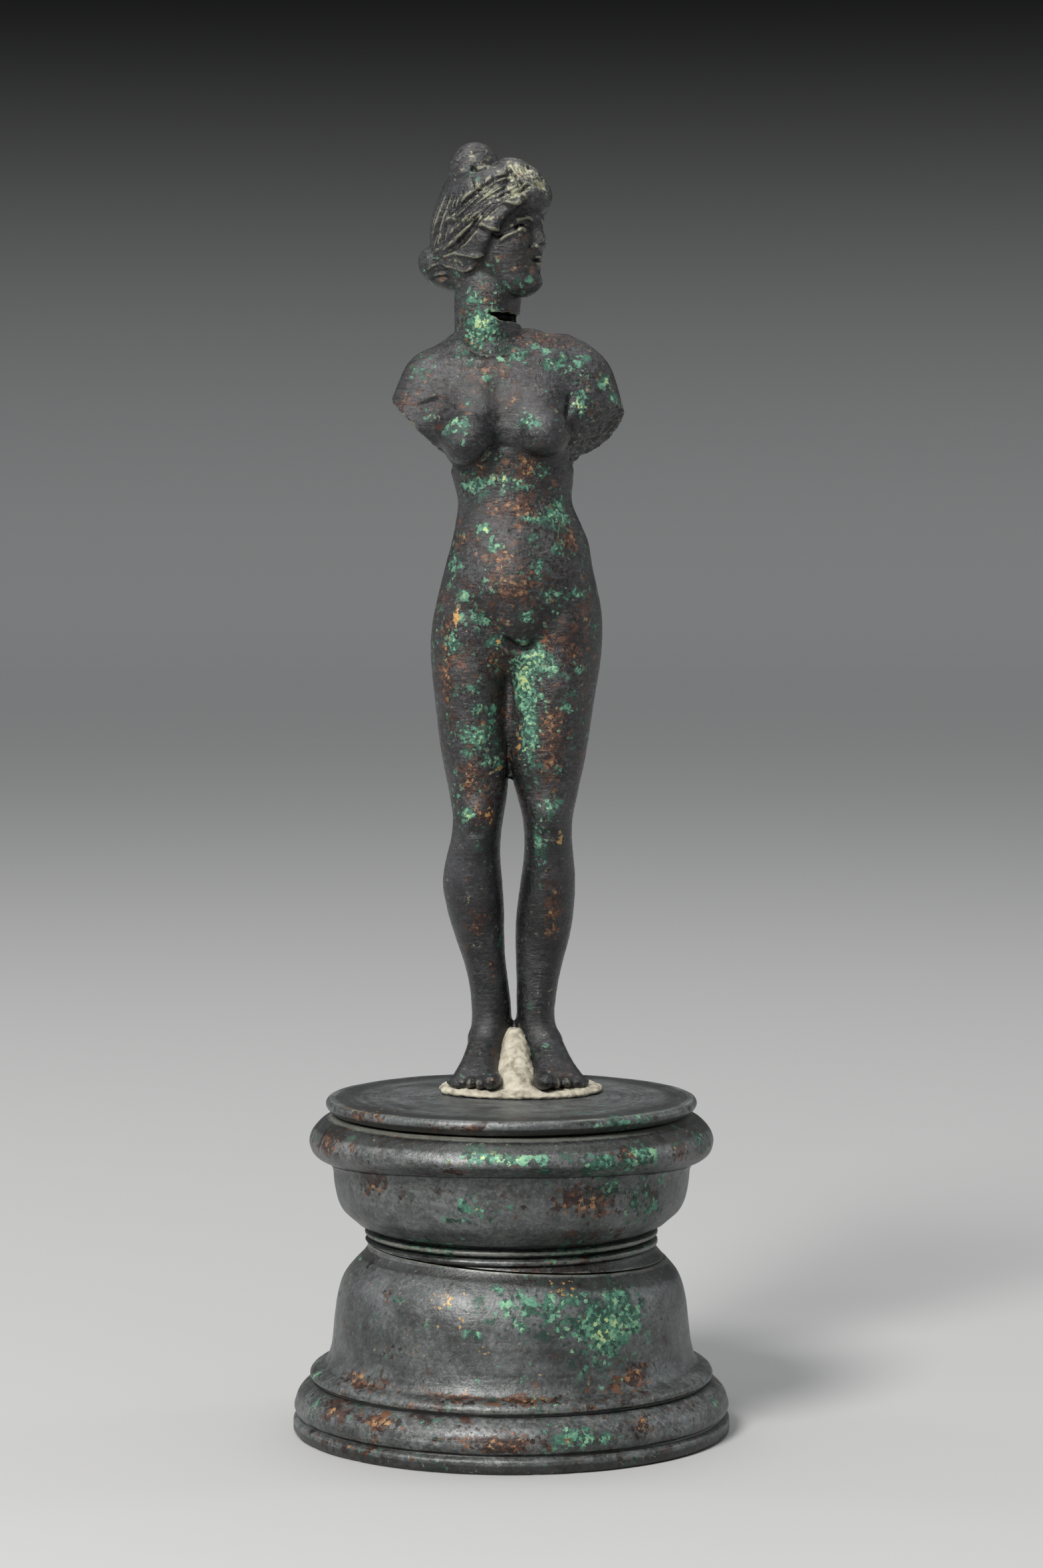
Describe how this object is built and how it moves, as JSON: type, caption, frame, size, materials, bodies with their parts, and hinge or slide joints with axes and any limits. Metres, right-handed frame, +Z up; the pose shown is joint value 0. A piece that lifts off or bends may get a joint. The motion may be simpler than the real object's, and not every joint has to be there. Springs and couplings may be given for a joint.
{
  "type": "small bronze figure of Venus on a turned plinth",
  "caption": "Standing nude female figurine in patinated bronze with broken arms and a turned head, set in solder on a hollow turned bronze plinth.",
  "frame": {"origin": "centre of the plinth's foot, on the surface that it stands on", "axes": "+Z up, the figure's front faces -Y"},
  "size_m": [0.068, 0.068, 0.2],
  "materials": {
    "figure_bronze": "dark bronze patina, worn and softly polished, with green and red-brown corrosion spots",
    "solder": "dull pale solder with a chalky oxide crust",
    "plate_bronze": "dark turned bronze with fine turning lines and a worn lip",
    "plinth_bronze": "grey-green bronze patina with brown and malachite green patches"
  },
  "bodies": {
    "root": {"figurine": "figure_bronze", "foot_fill": "solder", "plinth_plate": "plate_bronze", "plinth_cup": "plinth_bronze", "plinth_bell": "plinth_bronze"}
  },
  "joints": []
}
